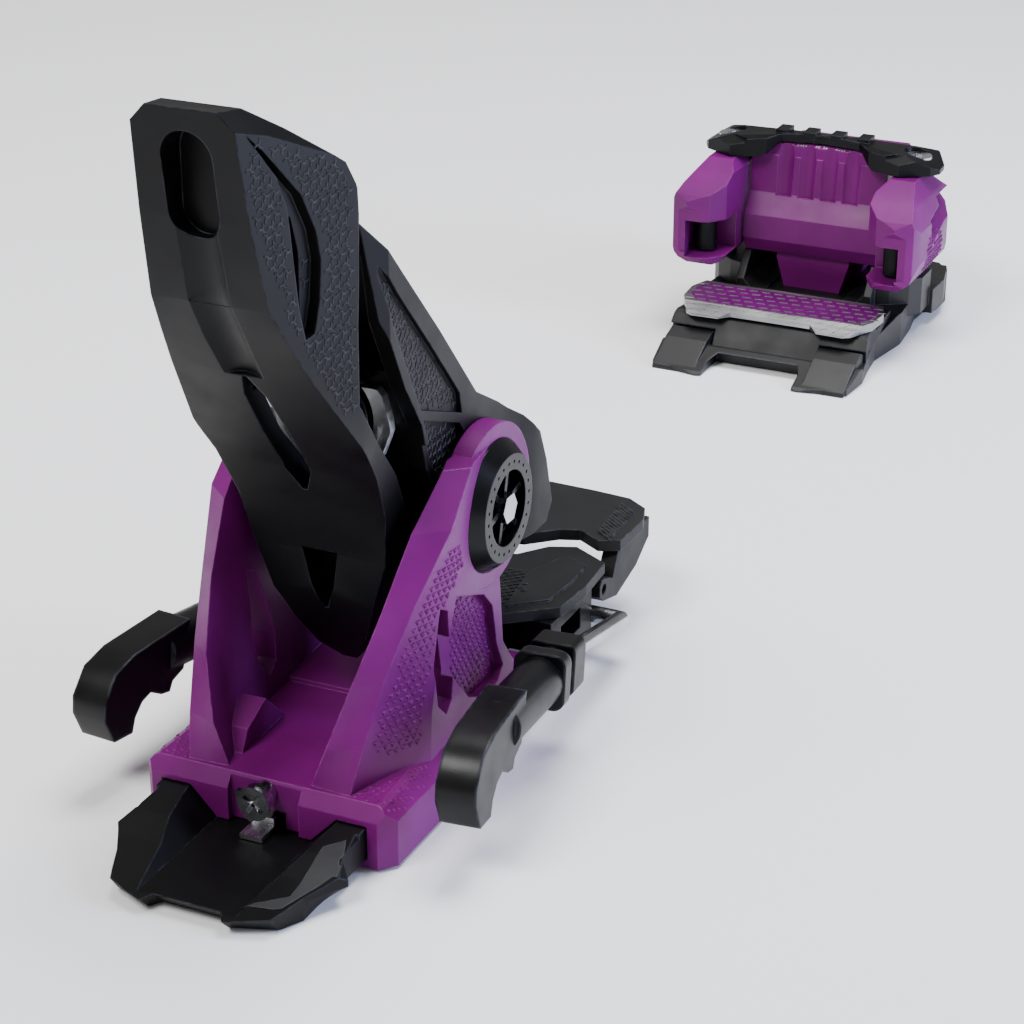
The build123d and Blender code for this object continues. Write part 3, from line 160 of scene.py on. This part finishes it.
def moulded(name, dark, light, worn_and_highlight, rough=0.42, grain=2600.0, depth=0.00002, edge=0.0005, gloss=0.16):
    """Injection moulded plastic: spark-eroded grain, drifting colour, and rubbed edges made lighter, partly
    as wear and partly as a painted edge highlight.
    """
    look = Look(name)
    normal, edges = look.rounded(edge)
    fine = look.noise(grain, 3.0)
    patches = look.noise(38.0, 4.0)
    # Rubbed edges: a lighter colour on rounded edges, partly wear and partly a painted edge highlight.
    rub_and_highlight = look.times(edges, look.ramp(look.noise(420.0, 3.0), 0.35, 0.62))
    colour = look.mix(look.ramp(patches, 0.35, 0.68), dark, light)
    speck = look.mix(look.times(look.ramp(fine, 0.55, 0.75), 0.35), colour, light)
    look.link(look.mix(rub_and_highlight, speck, worn_and_highlight), look.shader.inputs["Base Color"])
    smear = look.ramp(look.noise(90.0, 5.0), 0.3, 0.7, rough - 0.05, rough + 0.07)
    look.link(smear, look.shader.inputs["Roughness"])
    look.link(look.bump(fine, depth, normal), look.shader.inputs["Normal"])
    look.shader.inputs["Specular IOR Level"].default_value = gloss
    return look.material


def metal(name, dark, light, rough=0.2, stretch=(1.0, 1.0, 1.0), grain=900.0, depth=0.0000012, edge=0.0003):
    """Plated or brushed metal: drawn grain, cloudy roughness, small marks, and edges lightened as a painted
    highlight.
    """
    look = Look(name)
    edges = look.rounded(edge)[1]
    fine = look.noise(grain, 4.0, look.place(stretch))
    cloud = look.noise(60.0, 4.0)
    colour = look.mix(look.ramp(cloud, 0.3, 0.7), dark, light)
    # Rounded edges mixed halfway to the light colour: a painted edge highlight.
    look.link(look.mix(look.times(edges, 0.5), colour, light), look.shader.inputs["Base Color"])
    smear = look.mix(look.ramp(fine, 0.3, 0.7), (rough * 0.8,) * 3, (rough * 1.35,) * 3)
    look.link(smear, look.shader.inputs["Roughness"])
    look.link(look.bump(fine, depth), look.shader.inputs["Normal"])
    look.shader.inputs["Metallic"].default_value = 1.0
    return look.material


def clear(name, tint, rough=0.06):
    """Clear polycarbonate with faint haze and hairlines, and edges whitened as a painted highlight."""
    look = Look(name)
    normal, edges = look.rounded(0.0003)
    haze = look.noise(240.0, 4.0)
    # Rounded edges whitened: a painted highlight.
    look.link(look.mix(edges, tint, (0.95, 0.95, 0.95)), look.shader.inputs["Base Color"])
    look.link(look.ramp(haze, 0.3, 0.7, rough, rough + 0.08), look.shader.inputs["Roughness"])
    look.link(look.bump(look.noise(1500.0), 0.000003, normal), look.shader.inputs["Normal"])
    look.shader.inputs["Transmission Weight"].default_value = 0.9
    look.shader.inputs["IOR"].default_value = 1.58
    return look.material


# Each set is dark, light and rubbed-edge colour. The rubbed-edge colour is lighter partly as wear and
# partly as a painted edge highlight; its blue tint on black is painted blue rim light.
PURPLE = ((0.105, 0.0008, 0.092), (0.148, 0.0014, 0.130), (0.26, 0.03, 0.24))
BLACK = ((0.0012, 0.0012, 0.0014), (0.0026, 0.0026, 0.0030), (0.030, 0.034, 0.050))
CHARCOAL = ((0.008, 0.008, 0.0085), (0.013, 0.013, 0.0135), (0.07, 0.07, 0.075))

looks = {
    "housing_purple": moulded("housing_purple", *PURPLE, rough=0.40, gloss=0.22),
    "toe_purple": moulded("toe_purple", *PURPLE, rough=0.38, depth=0.00003, gloss=0.22),
    "wing_purple": moulded("wing_purple", *PURPLE, rough=0.38, depth=0.00003, gloss=0.22),
    "inlay_purple": moulded(
        "inlay_purple", (0.060, 0.001, 0.058), (0.09, 0.002, 0.085), (0.3, 0.12, 0.3), rough=0.28
    ),
    "track_black": moulded("track_black", *BLACK, rough=0.46, edge=0.0006),
    "body_black": moulded("body_black", *BLACK, rough=0.44),
    "lever_black": moulded("lever_black", *BLACK, rough=0.40, depth=0.000012),
    "plate_charcoal": moulded("plate_charcoal", *CHARCOAL, rough=0.5),
    "pedal_charcoal": moulded("pedal_charcoal", *CHARCOAL, rough=0.5),
    "bracket_black": moulded("bracket_black", *BLACK, rough=0.40),
    "grip_black": moulded("grip_black", *BLACK, rough=0.36, edge=0.0012, gloss=0.22),
    "toe_base_black": moulded("toe_base_black", *BLACK, rough=0.46, edge=0.0006, gloss=0.45),
    "bar_black": moulded("bar_black", *BLACK, rough=0.36, edge=0.0006),
    "carrier_black": moulded("carrier_black", *BLACK, rough=0.48, edge=0.0006, gloss=0.3),
    "roller_black": moulded("roller_black", *BLACK, rough=0.42),
    "cap_black": moulded("cap_black", *BLACK, rough=0.28, edge=0.0003, depth=0.000008, gloss=0.18),
    "spring_cap_black": moulded(
        "spring_cap_black", *BLACK, rough=0.2, edge=0.0003, depth=0.000006, gloss=0.5
    ),
    "nut_red": moulded("nut_red", (0.42, 0.02, 0.015), (0.55, 0.03, 0.02), (0.7, 0.2, 0.15)),
    "chrome": metal("chrome", (0.38, 0.38, 0.40), (0.58, 0.58, 0.61), rough=0.17),
    "steel": metal("steel", (0.42, 0.42, 0.44), (0.62, 0.62, 0.64), rough=0.26, stretch=(1.0, 0.05, 1.0)),
    "frame_silver": metal("frame_silver", (0.62, 0.62, 0.63), (0.80, 0.80, 0.82), rough=0.46),
    "sole_silver": metal(
        "sole_silver", (0.24, 0.24, 0.24), (0.38, 0.38, 0.38), rough=0.34, stretch=(0.06, 1.0, 1.0)
    ),
    "spring_steel": metal("spring_steel", (0.22, 0.22, 0.24), (0.38, 0.38, 0.40), rough=0.3),
    "clear_window": clear("clear_window", (0.85, 0.87, 0.88)),
    "emboss_black": moulded(
        "emboss_black",
        (0.003, 0.003, 0.004),
        (0.006, 0.006, 0.007),
        (0.035, 0.036, 0.042),
        rough=0.34,
        gloss=0.32,
    ),
    # A lighter copy of emboss_black for the heel body's lower panel: painted sheen.
    "emboss_painted_sheen": moulded(
        "emboss_painted_sheen",
        (0.010, 0.010, 0.011),
        (0.015, 0.015, 0.016),
        (0.06, 0.06, 0.065),
        rough=0.36,
        gloss=0.36,
    ),
    "satin_grey": moulded(
        "satin_grey",
        (0.022, 0.022, 0.023),
        (0.034, 0.034, 0.035),
        (0.08, 0.08, 0.085),
        rough=0.45,
        depth=0.00003,
    ),
}
slot_of = {part["node"]: part["material_slot"] for part in frame["record"]["subparts"]}


def soft_shading(degrees):
    """A modifier that shades faces smoothly across edges flatter than an angle."""
    group = bpy.data.node_groups.new("soft_shading_%d" % degrees, "GeometryNodeTree")
    group.interface.new_socket("Geometry", in_out="INPUT", socket_type="NodeSocketGeometry")
    group.interface.new_socket("Geometry", in_out="OUTPUT", socket_type="NodeSocketGeometry")
    start = group.nodes.new("NodeGroupInput")
    end = group.nodes.new("NodeGroupOutput")
    merge = group.nodes.new("GeometryNodeMergeByDistance")
    merge.inputs["Distance"].default_value = 0.000002
    angle = group.nodes.new("GeometryNodeInputMeshEdgeAngle")
    flat = group.nodes.new("FunctionNodeCompare")
    flat.operation = "LESS_THAN"
    flat.inputs[1].default_value = math.radians(degrees)
    shade = group.nodes.new("GeometryNodeSetShadeSmooth")
    shade.domain = "EDGE"
    group.links.new(start.outputs[0], merge.inputs["Geometry"])
    group.links.new(merge.outputs["Geometry"], shade.inputs["Geometry"])
    group.links.new(angle.outputs["Unsigned Angle"], flat.inputs[0])
    group.links.new(flat.outputs[0], shade.inputs["Shade Smooth"])
    group.links.new(shade.outputs["Geometry"], end.inputs[0])
    return group


ROUNDED = {
    "brake_grips": 47,
    "heel_lever": 27,
    "heel_body": 16,
    "heel_housing": 16,
    "toe_housing": 16,
    "toe_wing_left": 16,
    "toe_wing_right": 16,
}
softer = {degrees: soft_shading(degrees) for degrees in sorted(set(ROUNDED.values()))}
for name, node in nodes.items():
    node.data.materials.clear()
    node.data.materials.append(looks[slot_of[name]])
    if name in ROUNDED:
        custom = node.data.attributes.get("custom_normal")
        if custom:
            node.data.attributes.remove(custom)
        node.data.shade_smooth()
        smooth = node.modifiers.new("soft_shading", "NODES")
        smooth.node_group = softer[ROUNDED[name]]


# --------------------------------------------------- fine moulded detail

KNURL_STEP = (2.2, 1.8)  # mm between the pyramids of a knurl, along and across
EMBOSS_STEP = (2.6, 2.25)  # mm between the three-armed motifs


def surface(*names):
    """The rest surface of some CAD nodes, to cast rays at."""
    points = []
    faces = []
    for name in names:
        first = len(points)
        mesh = nodes[name].data
        points.extend(vertex.co.copy() for vertex in mesh.vertices)
        faces.extend([first + i for i in polygon.vertices] for polygon in mesh.polygons)
    return BVHTree.FromPolygons(points, faces)


def inside(region, a, b):
    """Whether the point a, b is inside a closed outline."""
    found = False
    for (a0, b0), (a1, b1) in zip(region, region[1:] + region[:1]):
        if (b0 > b) != (b1 > b) and a < a0 + (b - b0) * (a1 - a0) / (b1 - b0):
            found = not found
    return found


def lattice(region, step_a, step_b, turn=0.0):
    """Points of a staggered lattice inside an outline, in mm, each with its row's number."""
    low_a = min(a for a, b in region)
    high_a = max(a for a, b in region)
    low_b = min(b for a, b in region)
    high_b = max(b for a, b in region)
    middle_a = (low_a + high_a) / 2
    middle_b = (low_b + high_b) / 2
    reach = math.hypot(high_a - low_a, high_b - low_b) / 2
    c = math.cos(math.radians(turn))
    s = math.sin(math.radians(turn))
    for row in range(-int(reach / step_b) - 1, int(reach / step_b) + 2):
        shift = 0.5 * step_a * (row % 2)
        for column in range(-int(reach / step_a) - 1, int(reach / step_a) + 2):
            along = column * step_a + shift
            across = row * step_b
            a = middle_a + along * c - across * s
            b = middle_b + along * s + across * c
            if inside(region, a, b):
                yield a, b, row


AXES = {
    "x": (lambda far, a, b: Vector((far, a, b)), Vector((1, 0, 0)), Vector((0, 1, 0))),
    "z": (lambda far, a, b: Vector((a, b, far)), Vector((0, 0, 1)), Vector((1, 0, 0))),
}
START = {"x": 100.0, "z": 300.0}  # mm from the origin, where a ray begins
FACING = 0.25  # least cosine between a face and the ray that finds it
PROBE_LIFT = 1.0  # mm over the surface, where the probes of an even patch begin
PROBE_REACH = 1.35  # mm that a probe may travel before its spot counts as a hole


class Stamp:
    """Small raised shapes set on a CAD surface, gathered into one piece."""

    def __init__(self, name, body, slot, *on):
        self.name = name
        self.body = body
        self.slot = slot
        self.tree = surface(*on)
        self.points = []
        self.faces = []

    def put(self, shape, axis, sign, a, b, reach=0.8, turn=0.0, flat=0.9, limits=None):
        """One shape at a, b (mm), where a ray along the axis meets an even patch of surface."""
        place, away, along = AXES[axis]
        start = place(sign * START[axis], a, b) * MM
        hit, normal, _, _ = self.tree.ray_cast(start, -sign * away)
        if hit is None or normal.dot(sign * away) < FACING:
            return
        if limits and not limits[0] * MM <= hit["xyz".index(axis)] * sign <= limits[1] * MM:
            return
        side = (along - normal * along.dot(normal)).normalized()
        up = normal.cross(side)
        if turn:
            c = math.cos(math.radians(turn))
            s = math.sin(math.radians(turn))
            side, up = side * c + up * s, up * c - side * s
        for p, q in ((reach, 0), (-reach, 0), (0, reach), (0, -reach)):
            probe = hit + (side * p + up * q + normal * PROBE_LIFT) * MM
            near, slope, _, _ = self.tree.ray_cast(probe, -normal, PROBE_REACH * MM)
            if near is None or slope.dot(normal) < flat:
                return
        first = len(self.points)
        points, faces = shape
        self.points.extend(hit + (side * p + up * q + normal * h) * MM for p, q, h in points)
        self.faces.extend([first + i for i in face] for face in faces)

    def finish(self, look=None):
        mesh = bpy.data.meshes.new(self.name)
        mesh.from_pydata(self.points, [], self.faces)
        mesh.materials.append(looks[look or self.slot])
        piece = bpy.data.objects.new(self.name, mesh)
        scene.collection.objects.link(piece)
        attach(piece, self.body)


def spike(outline, height, sunk=0.06):
    """A low pyramid over an outline."""
    count = len(outline)
    points = [(p, q, -sunk) for p, q in outline] + [(0.0, 0.0, height)]
    faces = [(i, (i + 1) % count, count) for i in range(count)]
    return points, faces + [tuple(reversed(range(count)))]


def block(outline, height, shrink=0.75, sunk=0.06):
    """A low raised shape with sloping sides over an outline."""
    count = len(outline)
    points = [(p, q, -sunk) for p, q in outline] + [(p * shrink, q * shrink, height) for p, q in outline]
    faces = [(i, (i + 1) % count, count + (i + 1) % count, count + i) for i in range(count)]
    return points, faces + [tuple(reversed(range(count))), tuple(range(count, 2 * count))]


def triskelion(size, width, height, sunk=0.05):
    """Three bent arms around a point, each a ridge with a sharp back."""
    points = []
    faces = []
    for arm in range(3):
        angle = math.radians(120 * arm)
        line = [(0.0, 0.0), (0.55 * size, 0.0), (0.95 * size, 0.38 * size)]
        first = len(points)
        for i, (p, q) in enumerate(line):
            half = width / 2 * (0.7 if i == 2 else 1.0)
            ahead = line[min(i + 1, 2)]
            behind = line[max(i - 1, 0)]
            heading = math.atan2(ahead[1] - behind[1], ahead[0] - behind[0])
            for offset, level in ((-half, -sunk), (0.0, height), (half, -sunk)):
                u = p - offset * math.sin(heading)
                v = q + offset * math.cos(heading)
                c = math.cos(angle)
                s = math.sin(angle)
                points.append((u * c - v * s, u * s + v * c, level))
        for i in range(2):
            k = first + 3 * i
            faces += [(k, k + 3, k + 4, k + 1), (k + 1, k + 4, k + 5, k + 2), (k, k + 2, k + 5, k + 3)]
        faces += [(first, first + 1, first + 2), (first + 8, first + 7, first + 6)]
    return points, faces


def mirror(region, side):
    """An outline in x, y mirrored to one side."""
    return [(side * a, b) for a, b in region]


ARM_STRIP = [
    (-2.5, 67), (0.5, 60), (-8.5, 54.5), (-13.5, 45), (-18, 35), (-21.5, 20.5),
    (-36, 24.5), (-33.5, 33), (-24, 49), (-15.5, 61), (-9.5, 66),
]
POCKET_FLOOR = [
    (0.5, 50), (13.5, 44), (18.5, 39), (20.8, 28.5), (23.6, 21.5),
    (21, 19.2), (12.5, 19.2), (5, 23), (0, 29),
]
FLANGE_TOP = [(21, -43), (31.5, -43.3), (34.6, -40), (34.8, -24), (31.5, -20), (28.6, -21)]
tri = spike([(-0.98, 0.52), (0.98, 0.52), (0.0, -1.12)], 0.62)
diamond = spike([(-0.95, 0.0), (0.0, -0.62), (0.95, 0.0), (0.0, 0.62)], 0.26)
knurl = Stamp("housing_knurl", "carriage", "housing_purple", "heel_housing")
for side in (1, -1):
    for y, z, row in lattice(ARM_STRIP, *KNURL_STEP, -6.0):
        knurl.put(tri, "x", side, y, z, 0.9)
    for y, z, row in lattice(POCKET_FLOOR, *KNURL_STEP):
        knurl.put(tri, "x", side, y, z, 0.9, limits=(26.3, 27.4))
    for x, y, row in lattice(mirror(FLANGE_TOP, side), 2.1, 1.4, 20.0 * side):
        knurl.put(diamond, "z", 1, x, y, 0.8, turn=20.0 * side)
knurl.finish()

LEVER_SIDE = [
    (-62.5, 178), (-50, 177), (-40, 171), (-33.4, 163), (-33.2, 114), (-37, 108), (-41, 115),
    (-49, 128), (-56, 145), (-62, 162),
]
hook = triskelion(1.35, 0.8, 0.2)
emboss = Stamp("lever_emboss", "lever", "lever_black", "heel_lever")
for side in (1, -1):
    for y, z, row in lattice(LEVER_SIDE, *EMBOSS_STEP):
        emboss.put(hook, "x", side, y, z, 1.45, turn=60.0 * (row % 2), flat=0.97)
emboss.finish("emboss_black")

UPPER_PANEL = [(-26, 143), (-18, 133), (0, 113), (13, 98), (14, 92.5), (-7.5, 101), (-21, 127)]
LOWER_PANEL = [(-6.5, 98), (13, 90.3), (16, 86), (4, 78.2), (-1, 85)]
# The lower panel takes the lighter emboss copy, which is painted sheen.
for region, name, look in ((UPPER_PANEL, "upper", "emboss_black"), (LOWER_PANEL, "lower", "emboss_painted_sheen")):
    panel = Stamp("body_emboss_" + name, "heel", "body_black", "heel_body")
    for side in (1, -1):
        for y, z, row in lattice(region, *EMBOSS_STEP):
            panel.put(hook, "x", side, y, z, 1.1, turn=60.0 * (row % 2), flat=0.97)
    panel.finish(look)

slash = block([(-1.5, -0.28), (1.5, -0.28), (1.5, 0.28), (-1.5, 0.28)], 0.16, 0.8)
dash = block([(-1.45, -0.34), (1.75, -0.34), (1.45, 0.34), (-1.75, 0.34)], 0.14, 0.85)
marks = Stamp("sole_marks", "sole_plate", "sole_silver", "afd_plate", "afd_inlay")
for row, y in enumerate((312.4, 316.4, 320.4, 324.4, 328.0)):
    for i in range(-7, 8):
        x = 4.6 * i + 2.3 * (row % 2)
        marks.put(dash, "z", 1, x, y, 0.3, turn=8.0)
for i in range(-7, 8):
    marks.put(slash, "z", 1, 4.6 * i, 308.6, 0.3, turn=50.0)
for side in (1, -1):
    for i in range(3):
        marks.put(slash, "z", 1, side * (20.0 + 4.6 * i), 305.2, 0.3, turn=50.0)
marks.finish()

WING_SIDE = [(339, 27), (354, 27), (360, 31), (358, 38), (351, 43), (343, 43), (339, 37)]
for side, hand in ((1, "right"), (-1, "left")):
    grip = Stamp("wing_knurl_" + hand, "wing_" + hand, "wing_purple", "toe_wing_" + hand)
    for y, z, row in lattice(WING_SIDE, *KNURL_STEP):
        grip.put(tri, "x", side, y, z, 0.9)
    grip.finish()

tick = block([(-0.42, -0.5), (0.18, -0.5), (0.42, 0.5), (-0.18, 0.5)], 0.08, 0.9)
ticks = Stamp("crown_ticks", "bases", "sole_silver", "toe_housing")
for i in range(-16, 17):
    if i % 5:
        ticks.put(tick, "z", 1, 0.95 * i, 355.25, 0.3, flat=0.8)
ticks.finish()

rib = block([(-0.9, -0.22), (0.9, -0.22), (0.9, 0.22), (-0.9, 0.22)], 0.3, 0.7)
HEEL_GRIP = [(9, 52), (17, 50.5), (20, 58), (17, 68), (11, 72), (9, 66)]
ribs = Stamp("heel_plate_grip", "carriage", "plate_charcoal", "heel_plate")
for side in (1, -1):
    for x, y, row in lattice(mirror(HEEL_GRIP, side), 2.6, 1.3):
        ribs.put(rib, "z", 1, x, y, 0.8, turn=30.0 * side)
ribs.finish()

HORN_FACET = [
    (12.1, -77.7), (16.5, -75), (21.5, -71.5), (21.6, -66), (21.3, -55.3), (25.3, -51.5),
    (28, -58), (29.2, -64.4), (26.6, -68.2), (26.6, -73.0), (20, -76.5),
]


HORN_LOW_Z = 2.5  # mm, under which a ray has passed the horn
SKIN_SUNK = 0.1  # mm that a thin plate reaches into the surface


def skin(name, body, look, region, node, lift=0.07, step=1.6):
    """A thin plate that lies on a CAD surface, inside an outline seen from above."""
    tree = surface(node)
    rim = []
    for (a0, b0), (a1, b1) in zip(region, region[1:] + region[:1]):
        count = max(1, int(math.hypot(a1 - a0, b1 - b0) / step))
        rim.extend((a0 + (a1 - a0) * k / count, b0 + (b1 - b0) * k / count) for k in range(count))
    spots = rim + [(a, b) for a, b, row in lattice(region, step, step)]
    flat = [Vector(spot) for spot in spots]
    edges = [(i, (i + 1) % len(rim)) for i in range(len(rim))]
    flat, _, triangles, _, _, _ = delaunay_2d_cdt(flat, edges, [], 1, 0.01)
    top = []
    missed = set()
    for spot in flat:
        hit = tree.ray_cast(Vector((spot[0], spot[1], 300.0)) * MM, Vector((0, 0, -1)))[0]
        if hit is None or hit.z < HORN_LOW_Z * MM:
            missed.add(len(top))
            hit = Vector((0, 0, 0))
        top.append(hit + Vector((0, 0, lift)) * MM)
    triangles = [face for face in triangles if not missed.intersection(face)]
    low = [point - Vector((0, 0, lift + SKIN_SUNK)) * MM for point in top]
    count = len(top)
    faces = [tuple(face) for face in triangles]
    faces += [tuple(count + i for i in reversed(face)) for face in triangles]
    used = {(i, j): True for face in triangles for i, j in zip(face, face[1:] + face[:1])}
    faces += [(j, i, count + i, count + j) for i, j in used if (j, i) not in used]
    mesh = bpy.data.meshes.new(name)
    mesh.from_pydata(top + low, [], faces)
    loose = bmesh.new()
    loose.from_mesh(mesh)
    bmesh.ops.delete(loose, geom=[v for v in loose.verts if not v.link_faces], context="VERTS")
    loose.to_mesh(mesh)
    loose.free()
    mesh.materials.append(looks[look])
    piece = bpy.data.objects.new(name, mesh)
    scene.collection.objects.link(piece)
    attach(piece, body)


skin("horn_facet", "bases", "satin_grey", HORN_FACET, "heel_track")


# ------------------------------------------------------ floor and lights

floor_mesh = bpy.data.meshes.new("floor")
corners = [(-4, -4), (4, -4), (4, 4), (-4, 4)]
floor_mesh.from_pydata([(x, y, cad_box[0][2] - 0.0003) for x, y in corners], [], [(0, 1, 2, 3)])
floor = bpy.data.objects.new("floor", floor_mesh)
scene.collection.objects.link(floor)
paper = Look("paper")
paper.link(
    paper.mix(paper.noise(6.0), (0.86, 0.86, 0.86), (0.89, 0.89, 0.89)),
    paper.shader.inputs["Base Color"],
)
paper.shader.inputs["Roughness"].default_value = 0.9
floor_mesh.materials.append(paper.material)

world = bpy.data.worlds.new("world")
scene.world = world
world.use_nodes = True
world.node_tree.nodes["Background"].inputs["Color"].default_value = (1.0, 1.0, 1.0, 1.0)
world.node_tree.nodes["Background"].inputs["Strength"].default_value = 0.32


def softbox(name, place, target, size, power, colour=(1.0, 1.0, 1.0)):
    light = bpy.data.lights.new(name, "AREA")
    light.shape = "RECTANGLE"
    light.size = size[0]
    light.size_y = size[1]
    light.energy = power
    light.color = colour
    lamp = bpy.data.objects.new(name, light)
    scene.collection.objects.link(lamp)
    lamp.location = place
    lamp.rotation_mode = "QUATERNION"
    lamp.rotation_quaternion = (Vector(target) - Vector(place)).to_track_quat("-Z", "Y")


softbox("key", (-0.35, -0.75, 1.25), (0.0, 0.08, 0.06), (0.6, 0.5), 20.0)
softbox("top", (0.1, 0.45, 1.4), (0.0, 0.15, 0.0), (0.8, 0.6), 26.0)
softbox("edge", (1.1, 0.30, 0.40), (0.0, 0.20, 0.05), (0.35, 0.8), 20.0, (0.58, 0.66, 1.0))
